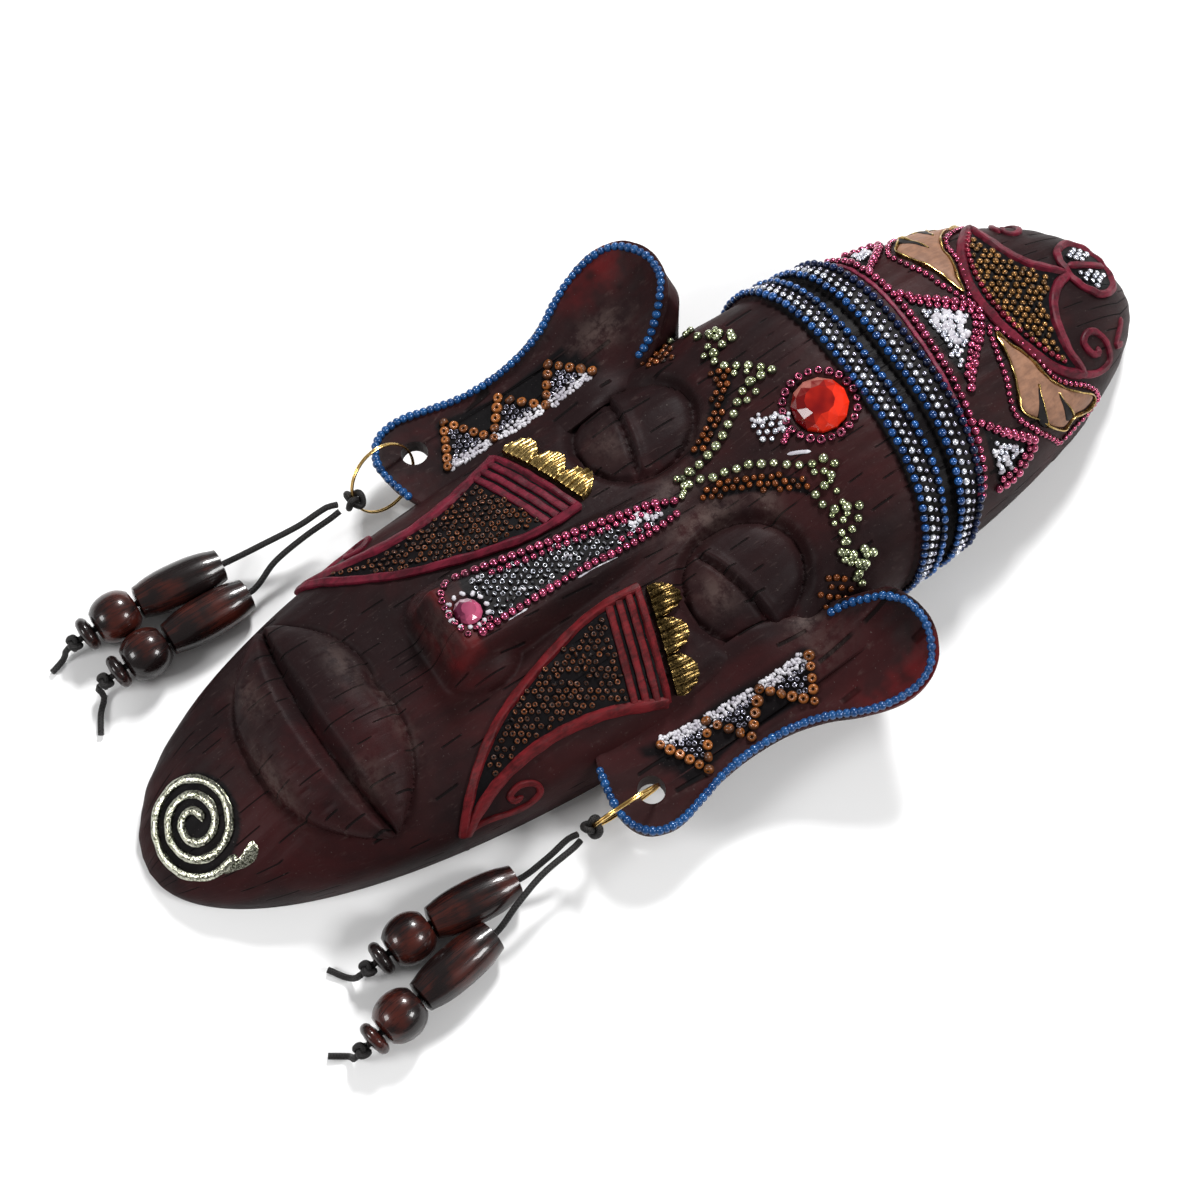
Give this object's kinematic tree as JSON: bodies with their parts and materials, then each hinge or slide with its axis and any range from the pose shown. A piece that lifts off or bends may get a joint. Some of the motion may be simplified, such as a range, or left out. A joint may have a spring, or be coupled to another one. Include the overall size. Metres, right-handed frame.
{
  "type": "african wall mask",
  "caption": "Long hollow-backed resin face mask with flared ears, raised bead relief, set gems, brass ear rings and beaded cord tassels.",
  "frame": {"origin": "centre of the mask's footprint on the surface that it lies on, at the back rim's level", "axes": "+Z out of the face, +Y from the chin to the crown, +X to the right as the face is looked at"},
  "size_m": [0.1782, 0.3652, 0.0542],
  "materials": {
    "dark_resin": "satin, painted like dark carved wood",
    "red_gem": "faceted and clear",
    "pink_gem": "faceted and clear",
    "brass": "polished wire, slightly dulled",
    "black_cord": "waxed round cord",
    "dark_wood": "stained and varnished"
  },
  "bodies": {
    "root": {"mask_body": "dark_resin", "forehead_gem": "red_gem", "nose_gem": "pink_gem", "ring_left": "brass", "ring_knot_left": "black_cord", "ring_right": "brass", "ring_knot_right": "black_cord", "barrel_left_a": "dark_wood", "round_left_a": "dark_wood", "saucer_left_a": "dark_wood", "end_knot_left_a": "black_cord", "strand_left_a": "black_cord", "barrel_left_b": "dark_wood", "round_left_b": "dark_wood", "saucer_left_b": "dark_wood", "end_knot_left_b": "black_cord", "strand_left_b": "black_cord", "barrel_right_a": "dark_wood", "round_right_a": "dark_wood", "saucer_right_a": "dark_wood", "end_knot_right_a": "black_cord", "strand_right_a": "black_cord", "barrel_right_b": "dark_wood", "round_right_b": "dark_wood", "saucer_right_b": "dark_wood", "end_knot_right_b": "black_cord", "strand_right_b": "black_cord"}
  },
  "joints": []
}
